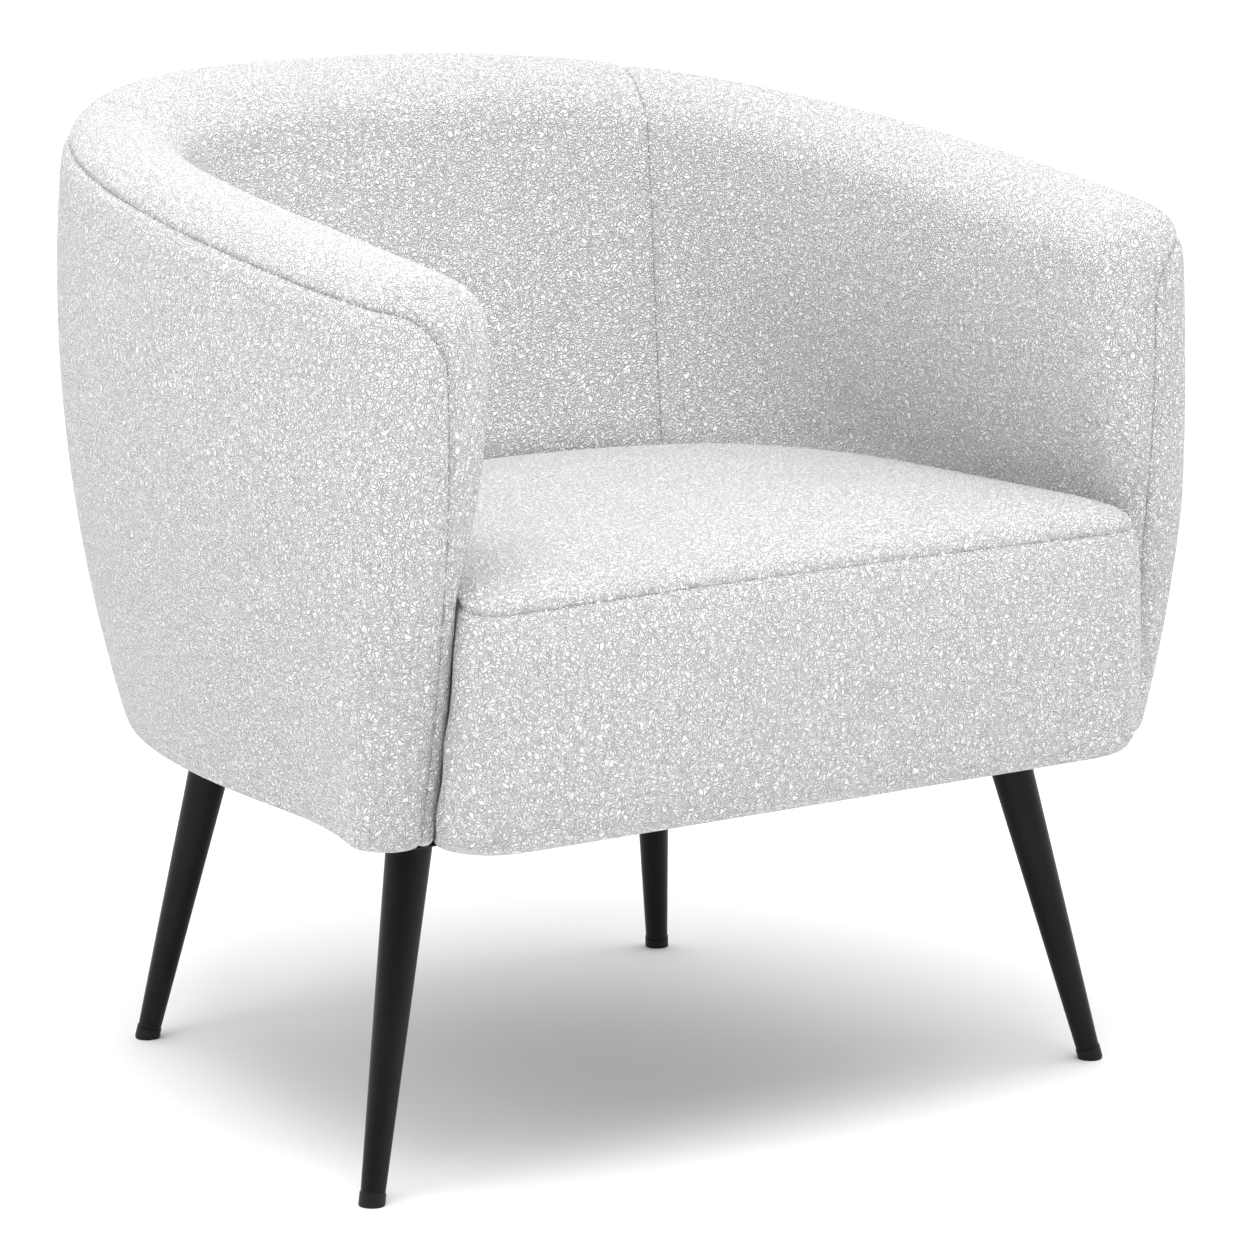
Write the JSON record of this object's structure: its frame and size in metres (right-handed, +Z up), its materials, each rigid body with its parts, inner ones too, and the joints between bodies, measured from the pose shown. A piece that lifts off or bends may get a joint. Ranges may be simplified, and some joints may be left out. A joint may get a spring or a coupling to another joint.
{
  "type": "upholstered armchair",
  "caption": "Upholstered barrel armchair: curved padded shell with a rolled, sloping top edge, a fixed crowned seat and splayed tapered legs.",
  "frame": {"origin": "on the floor under the middle of the chair's length and width", "axes": "+X across the chair, the chair faces -Y, +Z up"},
  "size_m": [0.735, 0.7213, 0.7324],
  "materials": {
    "boucle_cover": "white looped boucle",
    "foam": "open-cell upholstery foam",
    "padding": "polyester wadding",
    "felt": "needled felt",
    "dust_cloth": "thin black non-woven cloth",
    "webbing": "woven elastic",
    "spring_steel": "drawn wire",
    "clip_plastic": "moulded",
    "zinc_screw": "zinc plated",
    "plate_steel": "matt black",
    "leg_black": "satin black powder coat",
    "glide_plastic": "moulded black nylon",
    "board": "thin fibreboard",
    "plywood": "unfinished plywood",
    "timber": "unfinished softwood"
  },
  "bodies": {
    "root": {"arm_inside_board_left": "board", "arm_inside_board_right": "board", "arm_post_left": "timber", "arm_post_right": "timber", "back_corner_post_left": "timber", "back_corner_post_right": "timber", "back_lower_rail": "timber", "back_middle_post": "timber", "back_webbing_1": "webbing", "back_webbing_2": "webbing", "back_webbing_3": "webbing", "base_frame": "plywood", "corner_block_front_left": "timber", "corner_block_front_right": "timber", "corner_block_rear_left": "timber", "corner_block_rear_right": "timber", "dust_cover": "dust_cloth", "foam_arm_left": "foam", "foam_arm_right": "foam", "foam_back": "foam", "glide_front_left": "glide_plastic", "glide_front_right": "glide_plastic", "glide_rear_left": "glide_plastic", "glide_rear_right": "glide_plastic", "inside_cover_arm_left": "boucle_cover", "inside_cover_arm_right": "boucle_cover", "inside_cover_back": "boucle_cover", "leg_front_left": "leg_black", "leg_front_right": "leg_black", "leg_plate_front_left": "plate_steel", "leg_plate_front_right": "plate_steel", "leg_plate_rear_left": "plate_steel", "leg_plate_rear_right": "plate_steel", "leg_plate_screws": "zinc_screw", "leg_rear_left": "leg_black", "leg_rear_right": "leg_black", "leg_stud_front_left": "zinc_screw", "leg_stud_front_right": "zinc_screw", "leg_stud_rear_left": "zinc_screw", "leg_stud_rear_right": "zinc_screw", "outside_board": "board", "outside_cover_arm_left": "boucle_cover", "outside_cover_arm_right": "boucle_cover", "outside_cover_back": "boucle_cover", "outside_padding": "padding", "seat_cover_border": "boucle_cover", "seat_cover_top": "boucle_cover", "seat_felt_pad": "felt", "seat_foam": "foam", "seat_front_padding": "padding", "seat_front_rail": "timber", "seat_rear_rail": "timber", "seat_side_rail_left": "timber", "seat_side_rail_right": "timber", "seat_springs": "spring_steel", "side_post_left": "timber", "side_post_right": "timber", "spring_clips": "clip_plastic", "top_rail": "timber"}
  },
  "joints": []
}
